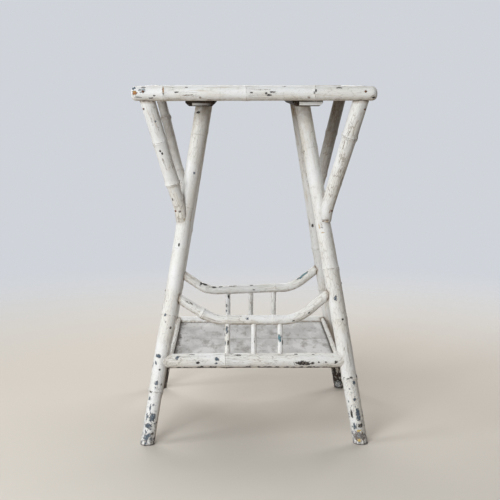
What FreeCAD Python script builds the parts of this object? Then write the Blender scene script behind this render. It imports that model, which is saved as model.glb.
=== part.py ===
import FreeCAD
import Part
import math
import os

# Side table of painted bamboo: cane-rimmed board top, splayed cane legs with braces, railed shelf.
# Millimetres. The origin is on the floor under the middle of the top, +X right, +Y back, +Z up.

V = FreeCAD.Vector

# Top: rim poles, boards and battens
top_width = 400.0           # front and rear poles, end to end
top_depth = 400.0           # front of the front pole to back of the rear pole
table_height = 604.0        # floor to the top of the rim
pole_dia = 24.0
pole_bore = 14.0
pole_end_round = 7.0        # rounding of a pole's cap
cap_spigot = 24.0           # cap's length inside the pole's bore
side_pole_inset = 20.0      # side pole's axis, in from the front pole's end
side_plug_length = 25.0     # plug in a side pole's end, past the front pole
top_board_thick = 11.0
top_board_drop = 2.0        # board's face below the top of the rim
board_seam = 0.6            # open joint between neighbouring boards
batten_width = 50.0
batten_thick = 20.0
batten_spacing = 176.0      # between the two battens' middles
batten_chamfer_width = 6.0
batten_chamfer_height = 5.5

# Legs and braces
leg_dia = 26.0
leg_bore = 16.0
foot_spread = 364.0         # between leg axes on the floor, along X and along Y
leg_top_spread = 170.0      # between leg axes under the battens
peg_in_leg = 32.0
peg_in_batten = 13.0
foot_plug_length = 26.0
foot_plug_recess = 1.0
brace_dia = 24.0
brace_bore = 12.0
brace_side_inset = 5.5      # brace's axis in from the side pole's axis, at the underside of the rim
brace_end_inset = 9.0       # brace's axis in from the front or rear pole's axis, at the same place
brace_foot_height = 378.0
brace_foot_offset = 2.5     # brace's axis out from the leg's axis, along X and along Y, at its foot
brace_seat = 5.0            # how far a brace's cut top laps up past the rim's underside

# Shelf
rail_dia = 24.0
rail_bore = 14.0
rail_height = 139.0         # rail's axis above the floor
rail_pin_dia = 8.0          # pin of a rail dowel, through the leg's wall
rail_dowel_length = 22.0    # dowel's thick part, in the rail's bore
rail_dowel_setback = 4.0    # thick part's distance from the leg
shelf_thick = 9.0
shelf_rise = 2.5            # shelf's face above the rail's axis
shelf_end_inset = 12.0      # shelf's end, in from the leg's axis
cleat_width = 12.0
cleat_height = 9.0
cleat_end_inset = 12.0      # cleat's end, in from the shelf's end
bead_dia = 7.5
bead_inset = 16.3           # bead's axis, in from the leg's axis

# Galleries
gallery_dia = 16.5
gallery_lift = 69.0         # level middle of a gallery rail above the shelf rail
gallery_rise = 46.0         # from the level middle up to the legs
gallery_bend_radius = 60.0
gallery_bend_angle = 37.0   # degrees
spindle_dia = 9.4
spindle_spacing = 45.0
spindle_tenon = 5.0         # how deep a spindle's end is let in

# Nails and screws
nail_dia = 2.2
nail_head_dia = 4.6
nail_head_thick = 1.0
brad_dia = 1.4
brad_head_dia = 2.4
brad_head_thick = 0.6
screw_dia = 3.6
screw_head_dia = 7.6
screw_bite = 7.0            # screw's length in the top board
frame_nail_rise = 3.0       # above the pole's axis
frame_nail_bite = 18.0      # nail's length past the pole
toe_nail_drop = 12.0        # toe nail's head below the rim
toe_nail_inset = 8.0        # toe nail's point, in from the front pole
brace_nail_rise = 16.0      # above the brace's foot
brace_nail_bite = 9.0       # into the leg, from its face
gallery_nail_bite = 16.0    # into the gallery rail
bead_brad_bite = 5.0
bead_brad_inset = 55.0      # in from the rail's axis
shelf_nail_bite = 8.0
shelf_nail_inset = 30.0     # in from the shelf's end
cleat_nail_inset = 70.0     # in from the shelf's end
cleat_nail_bite = 10.0

# Growth rings of the canes: places as shares of a cane's length, and the ring's form
node_rise = 1.0
node_half = 3.5
rim_nodes = {"front": (0.117, 0.464, 0.757), "rear": (0.21, 0.53, 0.83)}
side_nodes = {"left": (0.24, 0.55, 0.82), "right": (0.17, 0.47, 0.79)}
leg_nodes = {"left": (0.177, 0.388, 0.57, 0.876), "right": (0.212, 0.377, 0.514, 0.84)}
brace_nodes = {"left": (0.285, 0.605), "right": (0.27, 0.63)}
rail_nodes = {"front": (0.35, 0.72), "rear": (0.28, 0.6)}

# Clearances
cope_gap = 0.2              # a cane's shaped end to the cane it meets
seat_gap = 0.3              # a board's or batten's edge to its neighbour
fit_gap = 0.05              # round a plug, peg, spindle or nail in its hole
hole_spare = 0.4            # past the end of a blind hole's peg

# Worked out from the sizes above
pole_r = pole_dia / 2
leg_r = leg_dia / 2
brace_r = brace_dia / 2
rail_r = rail_dia / 2
gallery_r = gallery_dia / 2
bead_r = bead_dia / 2
pole_z = table_height - pole_r
pole_y = top_depth / 2 - pole_r
rim_low = pole_z - pole_r
side_x = top_width / 2 - side_pole_inset
top_face = table_height - top_board_drop
top_board_low = top_face - top_board_thick
batten_low = top_board_low - batten_thick
batten_x = batten_spacing / 2
lean = (foot_spread - leg_top_spread) / 2 / batten_low
shelf_face = rail_height + shelf_rise
shelf_low = shelf_face - shelf_thick
gallery_height = rail_height + gallery_lift

sides = (("left", -1), ("right", 1))
ends = (("front", -1), ("rear", 1))
corners = [(f"{end}_{side}", side, sx, sy) for end, sy in ends for side, sx in sides]
top_board_names = ("front", "middle", "rear")
parts = {}


def leg_half(z):
    return foot_spread / 2 - lean * z


def leg_point(sx, sy, z):
    return V(sx * leg_half(z), sy * leg_half(z), z)


rail_y = leg_half(rail_height)
shelf_half_x = rail_y - shelf_end_inset
shelf_half_y = rail_y - rail_r - seat_gap


# Shapes that repeat
def line(a, b):
    return Part.LineSegment(a, b).toShape()


# Solid turned from a closed outline of radius along X and length along Z, then set along a direction
def turned(outline, start, direction):
    face = Part.Face(Part.Wire(outline))
    solid = face.revolve(V(0, 0, 0), V(0, 0, 1), 360)
    solid.Placement = FreeCAD.Placement(start, FreeCAD.Rotation(V(0, 0, 1), direction))
    return solid


def rod(start, end, radius):
    direction = end.sub(start)
    return Part.makeCylinder(radius, direction.Length, start, direction)


# Bamboo cane with its growth rings. With no bore, and grown, it is the cutter for what meets the cane.
def cane(start, end, dia, bore, nodes, grow=0.0):
    length = end.sub(start).Length
    inner = bore / 2
    outer = dia / 2 + grow
    last = V(outer, 0, 0)
    outline = [line(V(inner, 0, 0), last)]
    for share in nodes:
        place = share * length
        low = V(outer, 0, place - node_half)
        crest = V(outer + node_rise, 0, place)
        high = V(outer, 0, place + node_half)
        outline.append(line(last, low))
        outline.append(Part.Arc(low, crest, high).toShape())
        last = high
    tip = V(outer, 0, length)
    outline.append(line(last, tip))
    outline.append(line(tip, V(inner, 0, length)))
    outline.append(line(V(inner, 0, length), V(inner, 0, 0)))
    return turned(outline, start, end.sub(start))


def slab(low, high):
    return Part.makeBox(2 * top_width, 2 * top_depth, high - low, V(-top_width, -top_depth, low))


def box(x0, x1, y0, y1, z0, z1):
    return Part.makeBox(x1 - x0, y1 - y0, z1 - z0, V(x0, y0, z0))


# Headed nail, from the middle of its head's face. With a gap it is the nail's hole.
def stepped(point, direction, head_r, head_thick, shank_r, length, gap=0.0):
    way = V(direction)
    way.normalize()
    head = rod(point, point + way * (head_thick + gap), head_r + gap)
    shank = rod(point, point + way * (length + gap), shank_r + gap)
    return head.fuse(shank).removeSplitter()


def nail(point, direction, length, gap=0.0):
    return stepped(point, direction, nail_head_dia / 2, nail_head_thick, nail_dia / 2, length, gap)


def brad(point, direction, length, gap=0.0):
    return stepped(point, direction, brad_head_dia / 2, brad_head_thick, brad_dia / 2, length, gap)


# Countersunk screw, upwards from the middle of its head's face
def screw(point, length, gap=0.0):
    head_r = screw_head_dia / 2 + gap
    shank_r = screw_dia / 2 + gap
    neck = head_r - shank_r
    top = length + gap
    rim = [V(0, 0, 0), V(head_r, 0, 0), V(shank_r, 0, neck), V(shank_r, 0, top), V(0, 0, top)]
    outline = [line(a, b) for a, b in zip(rim, rim[1:] + rim[:1])]
    return turned(outline, point, V(0, 0, 1))


def cut_from(names, cutters):
    for name in names:
        parts[name] = parts[name].cut(cutters)


# Group of like fasteners: each is set, and its hole is cut in the pieces that it goes through
def fasten(node, make, places, through):
    made = []
    for place, names in zip(places, through):
        made.append(make(*place))
        cut_from(names, [make(*place, gap=fit_gap)])
    parts[node] = Part.makeCompound(made)


# Canes that others are shaped to
def rim_ends(sy):
    reach = top_width / 2 - pole_end_round
    return V(-reach, sy * pole_y, pole_z), V(reach, sy * pole_y, pole_z)


def side_ends(sx):
    return V(sx * side_x, -pole_y, pole_z), V(sx * side_x, pole_y, pole_z)


def leg_ends(sx, sy):
    return leg_point(sx, sy, -leg_dia), leg_point(sx, sy, batten_low + leg_dia)


def rail_ends(sy):
    return leg_point(-1, sy, rail_height), leg_point(1, sy, rail_height)


rim_form = [cane(*rim_ends(sy), pole_dia, 0, rim_nodes[end], cope_gap) for end, sy in ends]
side_form = [cane(*side_ends(sx), pole_dia, 0, side_nodes[side], cope_gap) for side, sx in sides]
leg_form = {name: cane(*leg_ends(sx, sy), leg_dia, 0, leg_nodes[side], cope_gap)
            for name, side, sx, sy in corners}
rail_form = [cane(*rail_ends(sy), rail_dia, 0, rail_nodes[end], cope_gap) for end, sy in ends]
all_legs = list(leg_form.values())

# Rim: front and rear poles with turned end caps, side poles shaped to them, plugs in the side poles
caps = []
for end, sy in ends:
    parts[f"top_pole_{end}"] = cane(*rim_ends(sy), pole_dia, pole_bore, rim_nodes[end])
    for sx, start in zip((-1, 1), rim_ends(sy)):
        spigot_r = pole_bore / 2 - fit_gap
        flat_r = pole_r - pole_end_round
        bend = pole_end_round * math.sqrt(0.5)
        crown = V(flat_r + bend, 0, bend)
        edge = [V(0, 0, -cap_spigot), V(spigot_r, 0, -cap_spigot), V(spigot_r, 0, 0), V(pole_r, 0, 0)]
        outline = [line(a, b) for a, b in zip(edge, edge[1:])]
        outline.append(Part.Arc(edge[-1], crown, V(flat_r, 0, pole_end_round)).toShape())
        outline.append(line(V(flat_r, 0, pole_end_round), V(0, 0, pole_end_round)))
        outline.append(line(V(0, 0, pole_end_round), edge[0]))
        caps.append(turned(outline, start, V(sx, 0, 0)))
parts["top_pole_caps"] = Part.makeCompound(caps)

plugs = []
for side, sx in sides:
    pole = cane(*side_ends(sx), pole_dia, pole_bore, side_nodes[side])
    parts[f"top_pole_{side}"] = pole.cut(rim_form)
    for sy, start in zip((-1, 1), side_ends(sx)):
        inner = start - V(0, sy * (pole_r + side_plug_length), 0)
        plugs.append(rod(start, inner, pole_bore / 2 - fit_gap).cut(rim_form))
parts["side_pole_plugs"] = Part.makeCompound(plugs)

# Top boards, with the grain along X, lying on two battens
board_half_x = side_x - pole_r - seat_gap
board_half_y = pole_y - pole_r - seat_gap
board_pitch = (2 * board_half_y + board_seam) / len(top_board_names)
board_middles = {}
for index, place in enumerate(top_board_names):
    y0 = -board_half_y + index * board_pitch
    y1 = y0 + board_pitch - board_seam
    board_middles[place] = (y0 + y1) / 2
    board = box(-board_half_x, board_half_x, y0, y1, top_board_low, top_face)
    parts[f"top_board_{place}"] = board.cut(rim_form + side_form)

for side, sx in sides:
    half = batten_width / 2
    low_half = half - batten_chamfer_width
    shoulder = batten_low + batten_chamfer_height
    section = [(-half, top_board_low), (-half, shoulder), (-low_half, batten_low),
               (low_half, batten_low), (half, shoulder), (half, top_board_low)]
    rim = [V(sx * batten_x + x, -board_half_y, z) for x, z in section]
    face = Part.Face(Part.makePolygon(rim + rim[:1]))
    parts[f"batten_{side}"] = face.extrude(V(0, 2 * board_half_y, 0)).cut(rim_form)

# Legs, with a peg into the batten at the top and a plug at the floor
pegs = []
feet = []
for name, side, sx, sy in corners:
    leg = cane(*leg_ends(sx, sy), leg_dia, leg_bore, leg_nodes[side])
    parts[f"leg_{name}"] = leg.common(slab(0, batten_low))
    peg_ends = leg_point(sx, sy, batten_low - peg_in_leg), leg_point(sx, sy, batten_low + peg_in_batten)
    pegs.append(rod(*peg_ends, leg_bore / 2 - fit_gap))
    peg_way = peg_ends[1].sub(peg_ends[0]).normalize()
    cut_from([f"batten_{side}"], [rod(peg_ends[0], peg_ends[1] + peg_way * hole_spare, leg_bore / 2)])
    plug_ends = leg_point(sx, sy, -leg_dia), leg_point(sx, sy, foot_plug_length)
    feet.append(rod(*plug_ends, leg_bore / 2 - fit_gap).common(slab(foot_plug_recess, table_height)))
parts["leg_pegs"] = Part.makeCompound(pegs)
parts["foot_plugs"] = Part.makeCompound(feet)

# Braces, from under the rim's corners down to the legs' outer faces
brace_axes = {}
for name, side, sx, sy in corners:
    foot = leg_half(brace_foot_height) + brace_foot_offset
    low = V(sx * foot, sy * foot, brace_foot_height)
    high = V(sx * (side_x - brace_side_inset), sy * (pole_y - brace_end_inset), rim_low)
    way = high.sub(low).normalize()
    brace_axes[name] = (low, way)
    brace = cane(low, high + way * brace_dia, brace_dia, brace_bore, brace_nodes[side])
    brace = brace.common(slab(0, rim_low + brace_seat))
    parts[f"brace_{name}"] = brace.cut(rim_form + side_form + [leg_form[name]])

# Shelf rails, each with a dowel through the leg's wall at either end
dowels = []
for end, sy in ends:
    rail = cane(*rail_ends(sy), rail_dia, rail_bore, rail_nodes[end])
    parts[f"shelf_rail_{end}"] = rail.cut(all_legs)
    for side, sx in sides:
        thick_end = V(sx * (rail_y - leg_r - rail_dowel_setback), sy * rail_y, rail_height)
        inner_end = thick_end - V(sx * rail_dowel_length, 0, 0)
        pin_end = V(sx * (rail_y - leg_bore / 4), sy * rail_y, rail_height)
        thick = rod(inner_end, thick_end, rail_bore / 2 - fit_gap)
        dowels.append(thick.fuse(rod(inner_end, pin_end, rail_pin_dia / 2)).removeSplitter())
        cut_from([f"leg_{end}_{side}"], [rod(inner_end, pin_end, rail_pin_dia / 2 + fit_gap)])
parts["rail_dowels"] = Part.makeCompound(dowels)

# Shelf boards, the cleats that carry them and the beads along their ends
for end, sy in ends:
    y0, y1 = sorted((sy * shelf_half_y, sy * board_seam / 2))
    board = box(-shelf_half_x, shelf_half_x, y0, y1, shelf_low, shelf_face)
    parts[f"shelf_board_{end}"] = board.cut(rail_form + all_legs)
    y0, y1 = sorted((sy * rail_y, sy * (shelf_half_y - cleat_width)))
    cleat_half = shelf_half_x - cleat_end_inset
    cleat = box(-cleat_half, cleat_half, y0, y1, shelf_low - cleat_height, shelf_low)
    y0, y1 = sorted((sy * rail_y, sy * shelf_half_y))
    under_rail = box(-cleat_half, cleat_half, y0, y1, 0, rail_height - rail_r)
    parts[f"shelf_cleat_{end}"] = cleat.cut(rail_form + all_legs + [under_rail])

for side, sx in sides:
    x = sx * (rail_y - bead_inset)
    z = shelf_face + bead_r + cope_gap
    parts[f"shelf_bead_{side}"] = rod(V(x, -rail_y, z), V(x, rail_y, z), bead_r).cut(rail_form + all_legs)


# Galleries: a bent rail in the leaning plane of two legs, on three spindles
slope = math.tan(math.radians(gallery_bend_angle))
bend_run = gallery_bend_radius * math.sin(math.radians(gallery_bend_angle))
bend_rise = gallery_bend_radius * (1 - math.cos(math.radians(gallery_bend_angle)))
stretch = math.hypot(1, lean)
gallery_end_x = leg_half(gallery_height + gallery_rise)
plane_rise = gallery_rise * stretch
flat_half = gallery_end_x - bend_run - (plane_rise - bend_rise) / slope


def in_plane(sy, x, rise):
    z = gallery_height + rise / stretch
    return V(x, sy * leg_half(z), z)


# Height of the gallery rail's axis in its plane, above its level middle
def gallery_level(x):
    past = abs(x) - flat_half
    if past <= 0:
        return 0.0
    if past <= bend_run:
        return gallery_bend_radius - math.sqrt(gallery_bend_radius ** 2 - past ** 2)
    return bend_rise + (past - bend_run) * slope


def gallery_path(sy):
    half_turn = math.radians(gallery_bend_angle) / 2
    mid_x = flat_half + gallery_bend_radius * math.sin(half_turn)
    mid_rise = gallery_bend_radius * (1 - math.cos(half_turn))
    bend_x = flat_half + bend_run
    left = [in_plane(sy, -x, rise) for x, rise in
            ((gallery_end_x, plane_rise), (bend_x, bend_rise), (mid_x, mid_rise), (flat_half, 0))]
    right = [V(-p.x, p.y, p.z) for p in reversed(left)]
    return Part.Wire([line(left[0], left[1]), Part.Arc(left[1], left[2], left[3]).toShape(),
                      line(left[3], right[0]), Part.Arc(right[0], right[1], right[2]).toShape(),
                      line(right[2], right[3])])


for end, sy in ends:
    path = gallery_path(sy)
    first = path.Vertexes[0].Point
    along = path.Edges[0].tangentAt(path.Edges[0].FirstParameter)
    ring = Part.Wire(Part.makeCircle(gallery_r, first, along))
    rail = path.makePipeShell([ring], True, False)
    parts[f"gallery_rail_{end}"] = rail.cut(all_legs)

spindle_names = ("left", "middle", "right")
for end, sy in ends:
    for index, place in enumerate(spindle_names):
        x = (index - 1) * spindle_spacing
        foot = V(x, sy * rail_y, rail_height)
        head = in_plane(sy, x, gallery_level(x))
        way = head.sub(foot).normalize()
        low = foot + way * (rail_r - spindle_tenon)
        high = head - way * (gallery_r - spindle_tenon)
        parts[f"spindle_{end}_{place}"] = rod(low, high, spindle_dia / 2)
        socket = rod(low - way * hole_spare, high + way * hole_spare, spindle_dia / 2 + fit_gap)
        cut_from([f"shelf_rail_{end}", f"gallery_rail_{end}"], [socket])

# Nails through the rim poles, into the side poles' plugs and into the battens' ends
places = []
through = []
for end, sy in ends:
    for side, sx in sides:
        depth = math.sqrt(pole_r ** 2 - frame_nail_rise ** 2 - (nail_head_dia / 2) ** 2)
        point = V(sx * side_x, sy * (pole_y + depth), pole_z + frame_nail_rise)
        places.append((point, V(0, -sy, 0), depth + pole_r + frame_nail_bite))
        through.append([f"top_pole_{end}", "top_pole_caps", "side_pole_plugs"])
fasten("rim_nails", nail, places, through)

places = []
through = []
for end, sy in ends:
    for side, sx in sides:
        drop = (pole_z - rim_low) / 2
        depth = math.sqrt(pole_r ** 2 - (drop + nail_head_dia / 2) ** 2)
        point = V(sx * batten_x, sy * (pole_y + depth), pole_z - drop)
        places.append((point, V(0, -sy, 0), depth + pole_r + frame_nail_bite))
        through.append([f"top_pole_{end}", f"batten_{side}"])
fasten("batten_nails", nail, places, through)

# Screws up through the battens into the top boards
places = []
through = []
for side, sx in sides:
    for place, y in board_middles.items():
        places.append((V(sx * batten_x, y, batten_low), batten_thick + screw_bite))
        through.append([f"batten_{side}", f"top_board_{place}"])
fasten("batten_screws", screw, places, through)

# Toe nails up through the braces' tops into the side poles, and nails through their feet into the legs
toe_places = []
toe_through = []
foot_places = []
foot_through = []
for name, side, sx, sy in corners:
    low, way = brace_axes[name]
    out = V(sx, sy, 0).normalize()
    normal = (out - way * out.dot(way)).normalize()
    sunk = math.sqrt(brace_r ** 2 - (nail_head_dia / 2) ** 2)
    point = low + way * ((rim_low - toe_nail_drop - low.z) / way.z) + normal * sunk
    target = V(sx * side_x, sy * (pole_y - pole_r - toe_nail_inset), pole_z - pole_bore / 4)
    toe_places.append((point, target.sub(point), target.sub(point).Length))
    toe_through.append([f"brace_{name}", f"top_pole_{side}", "side_pole_plugs"])
    height = brace_foot_height + brace_nail_rise
    axis_point = low + way * (brace_nail_rise / way.z)
    point = axis_point + out * (sunk / normal.dot(out))
    to_leg = point.sub(leg_point(sx, sy, height)).Length - leg_r
    foot_places.append((point, out * -1, to_leg + brace_nail_bite))
    foot_through.append([f"brace_{name}", f"leg_{name}"])
fasten("brace_top_nails", nail, toe_places, toe_through)
fasten("brace_foot_nails", nail, foot_places, foot_through)

# Nails through the legs into the gallery rails' ends
places = []
through = []
for name, side, sx, sy in corners:
    end = name.split("_")[0]
    tip = in_plane(sy, sx * gallery_end_x, plane_rise)
    inward = in_plane(sy, sx * (flat_half + bend_run), bend_rise).sub(tip).normalize()
    leg_way = leg_point(sx, sy, table_height).sub(leg_point(sx, sy, 0)).normalize()
    reach = leg_r / inward.cross(leg_way).Length
    sunk = reach - nail_head_thick / 2
    places.append((tip - inward * sunk, inward, sunk + reach + gallery_nail_bite))
    through.append([f"leg_{name}", f"gallery_rail_{end}"])
fasten("gallery_nails", nail, places, through)

# Brads in the beads, nails in the shelf boards and nails in the cleats
places = []
through = []
for side, sx in sides:
    for end, sy in ends:
        sunk = math.sqrt(bead_r ** 2 - (brad_head_dia / 2) ** 2)
        z = shelf_face + cope_gap + bead_r + sunk
        point = V(sx * (rail_y - bead_inset), sy * (rail_y - bead_brad_inset), z)
        places.append((point, V(0, 0, -1), z - shelf_face + bead_brad_bite))
        through.append([f"shelf_bead_{side}", f"shelf_board_{end}"])
fasten("bead_brads", brad, places, through)

places = []
through = []
for end, sy in ends:
    for x in (shelf_nail_inset - shelf_half_x, 0, shelf_half_x - shelf_nail_inset):
        point = V(x, sy * (shelf_half_y - cleat_width / 2), shelf_face)
        places.append((point, V(0, 0, -1), shelf_thick + shelf_nail_bite))
        through.append([f"shelf_board_{end}", f"shelf_cleat_{end}"])
fasten("shelf_nails", brad, places, through)

places = []
through = []
for end, sy in ends:
    for side, sx in sides:
        z = (shelf_low + rail_height - rail_r) / 2
        point = V(sx * (shelf_half_x - cleat_nail_inset), sy * (shelf_half_y - cleat_width), z)
        places.append((point, V(0, sy, 0), cleat_width + cleat_nail_bite))
        through.append([f"shelf_cleat_{end}", f"shelf_rail_{end}"])
fasten("cleat_nails", brad, places, through)

os.makedirs("parts", exist_ok=True)
for name, shape in parts.items():
    shape.exportStep(f"parts/{name}.step")
    print(f"{name}: {len(shape.Solids)} solids, {shape.Volume / 1000:.2f} cm3, valid {shape.isValid()}")
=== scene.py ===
import bpy
import bisect
import bmesh
import math
from mathutils import Matrix, Vector, noise
from mathutils.bvhtree import BVHTree


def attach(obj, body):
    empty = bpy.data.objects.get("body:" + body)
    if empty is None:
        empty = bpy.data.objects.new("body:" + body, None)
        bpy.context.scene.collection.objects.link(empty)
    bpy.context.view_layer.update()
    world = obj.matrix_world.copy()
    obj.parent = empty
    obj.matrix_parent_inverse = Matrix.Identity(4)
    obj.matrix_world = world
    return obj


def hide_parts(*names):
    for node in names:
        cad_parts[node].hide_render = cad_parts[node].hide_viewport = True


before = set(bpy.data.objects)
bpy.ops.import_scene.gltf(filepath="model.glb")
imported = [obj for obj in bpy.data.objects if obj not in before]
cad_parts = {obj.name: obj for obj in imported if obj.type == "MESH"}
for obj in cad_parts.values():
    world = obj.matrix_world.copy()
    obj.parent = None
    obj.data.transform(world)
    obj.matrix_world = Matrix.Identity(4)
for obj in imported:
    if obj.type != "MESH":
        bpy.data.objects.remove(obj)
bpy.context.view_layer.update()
print("frame loaded:", len(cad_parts), "nodes")
mm = 0.001


# Material sums: a socket that can be added, multiplied and so on
def sums(operation, turned=False):
    def work(self, other=0.0):
        first, second = (other, self) if turned else (self, other)
        return self.node("Math", {"operation": operation}, {0: first, 1: second})
    return work


class Wire:
    __add__, __radd__ = sums("ADD"), sums("ADD", True)
    __sub__, __rsub__ = sums("SUBTRACT"), sums("SUBTRACT", True)
    __mul__, __rmul__ = sums("MULTIPLY"), sums("MULTIPLY", True)
    __abs__, least, most = sums("ABSOLUTE"), sums("MINIMUM"), sums("MAXIMUM")

    def __init__(self, tree, socket=None):
        self.tree = tree
        self.socket = socket

    def node(self, kind, settings=None, sockets=None, out=0):
        made = self.tree.nodes.new("ShaderNode" + kind)
        for name, value in (settings or {}).items():
            setattr(made, name, value)
        for name, value in (sockets or {}).items():
            if isinstance(value, Wire):
                self.tree.links.new(value.socket, made.inputs[name])
            else:
                made.inputs[name].default_value = value
        return Wire(self.tree, made.outputs[out])

    def step(self, low, high):  # eases from 0 at low to 1 at high
        return self.node("MapRange", {"interpolation_type": "SMOOTHSTEP"},
                         {"Value": self, "From Min": low, "From Max": high})

    def stretch(self, x, y, z):
        return self.node("VectorMath", {"operation": "MULTIPLY"}, {0: self, 1: (x, y, z)})

    def cloud(self, scale, detail=2.0, rough=0.5, out="Fac"):
        sockets = {"Vector": self, "Scale": scale, "Detail": detail, "Roughness": rough}
        return self.node("TexNoise", {}, sockets, out)

    def tint(self, below, above):  # colour mixed by this value, from tones or their names
        below, above = (tone(*tones[c]) if isinstance(c, str) else c for c in (below, above))
        return self.node("Mix", {"data_type": "RGBA"}, {0: self, 6: below, 7: above}, 2)

    def layer(self, name, out="Fac"):  # what the mesh holds at each point
        return self.node("Attribute", {"attribute_name": name}, out=out)

    def part(self, axis):
        return self.node("SeparateXYZ", {}, {0: self}, axis)

    def scaled(self, scale, offset):  # vector times scale, plus offset
        return self.node("VectorMath", {"operation": "MULTIPLY_ADD"}, {0: self, 1: scale, 2: offset})

    def size(self):
        return self.node("VectorMath", {"operation": "LENGTH"}, {0: self}, "Value")

    def feed(self, shader, name):
        self.tree.links.new(self.socket, shader.inputs[name])

    def emboss(self, shader, strength, deep):
        sockets = {"Strength": strength, "Distance": deep, "Height": self}
        self.node("Bump", {}, sockets, "Normal").feed(shader, "Normal")


def tone(red, green, blue):  # paint-chart numbers, 0 to 255
    shares = [value / 255 for value in (red, green, blue)]
    return tuple(s / 12.92 if s < 0.04045 else ((s + 0.055) / 1.055) ** 2.4 for s in shares) + (1.0,)


def newFinish(name):
    finish = bpy.data.materials.new(name)
    finish.use_nodes = True
    return finish, Wire(finish.node_tree), finish.node_tree.nodes["Principled BSDF"]


# Tones of paint, wood and iron
tones = {
    "white": (231, 232, 232), "cream": (227, 226, 221), "ivory": (215, 207, 192), "tan": (186, 166, 138),
    "smoke": (186, 184, 180), "grime": (142, 121, 95), "umber": (60, 47, 38), "drab": (126, 119, 110),
    "crack": (112, 94, 74), "edge": (60, 60, 62), "slate": (78, 90, 102), "pebble": (150, 158, 164),
    "teal": (84, 128, 136), "grey": (118, 111, 107), "black": (48, 46, 46), "wood": (156, 104, 70),
    "ochre": (206, 180, 94), "straw": (198, 176, 132), "pitch": (36, 29, 25), "mist": (158, 167, 173),
    "rust": (158, 122, 94), "wash": (193, 193, 193), "pale": (217, 217, 218), "dust": (174, 173, 171),
    "blot": (132, 127, 120), "seam": (70, 62, 53), "woodDark": (126, 98, 70), "woodPale": (158, 128, 94),
    "woodStain": (84, 66, 50), "ironDark": (62, 48, 40), "ironRed": (128, 82, 54),
}

# Old white paint over a blue-grey coat, on cane and on board
spotForms = {  # edge, body and flecks of a chip
    "slate": ("edge", "slate", "pebble"),
    "teal": ("edge", "teal", "pebble"),
    "grey": ("crack", "grey", "pebble"),
    "black": ("edge", "black", "drab"),
    "wood": ("umber", "wood", "ochre"),
    "ochre": ("tan", "ochre", "ivory"),
    "rust": ("tan", "rust", "grime"),
    "mist": ("edge", "mist", "white"),
    "straw": ("tan", "straw", "ivory"),
    "gape": ("grime", "crack", "umber"),
}


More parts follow.
